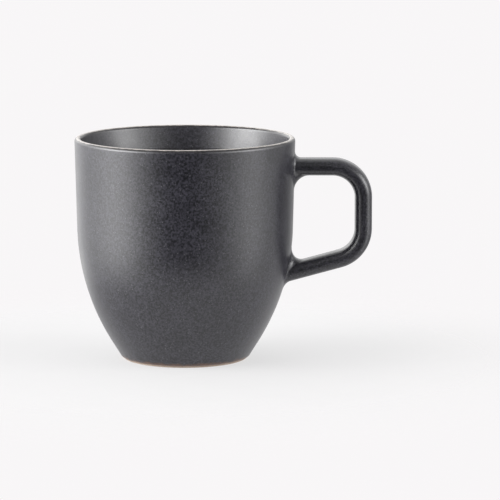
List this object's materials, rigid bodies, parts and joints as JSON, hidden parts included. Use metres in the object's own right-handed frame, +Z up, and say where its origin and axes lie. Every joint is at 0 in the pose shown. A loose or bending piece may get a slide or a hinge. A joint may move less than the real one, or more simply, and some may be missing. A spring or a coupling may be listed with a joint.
{
  "type": "mug",
  "caption": "Glazed stoneware mug: a rounded cup on a small bare foot ring, with a D-shaped side handle, open at the mouth for hot drinks.",
  "frame": {"origin": "centre of the foot ring's land, on the table that the mug stands on", "axes": "+Z up along the cup's axis, towards the mouth; +X out along the handle; +Y completes the right-handed frame"},
  "size_m": [0.116, 0.086, 0.087],
  "materials": {
    "stoneware_clay": "matte",
    "joint_slip": "matte",
    "charcoal_glaze": "satin"
  },
  "bodies": {
    "root": {"cup_body": "stoneware_clay", "handle": "stoneware_clay", "upper_slip_joint": "joint_slip", "lower_slip_joint": "joint_slip", "liner_glaze": "charcoal_glaze", "outer_glaze": "charcoal_glaze", "handle_glaze": "charcoal_glaze", "foot_well_glaze": "charcoal_glaze"}
  },
  "joints": []
}
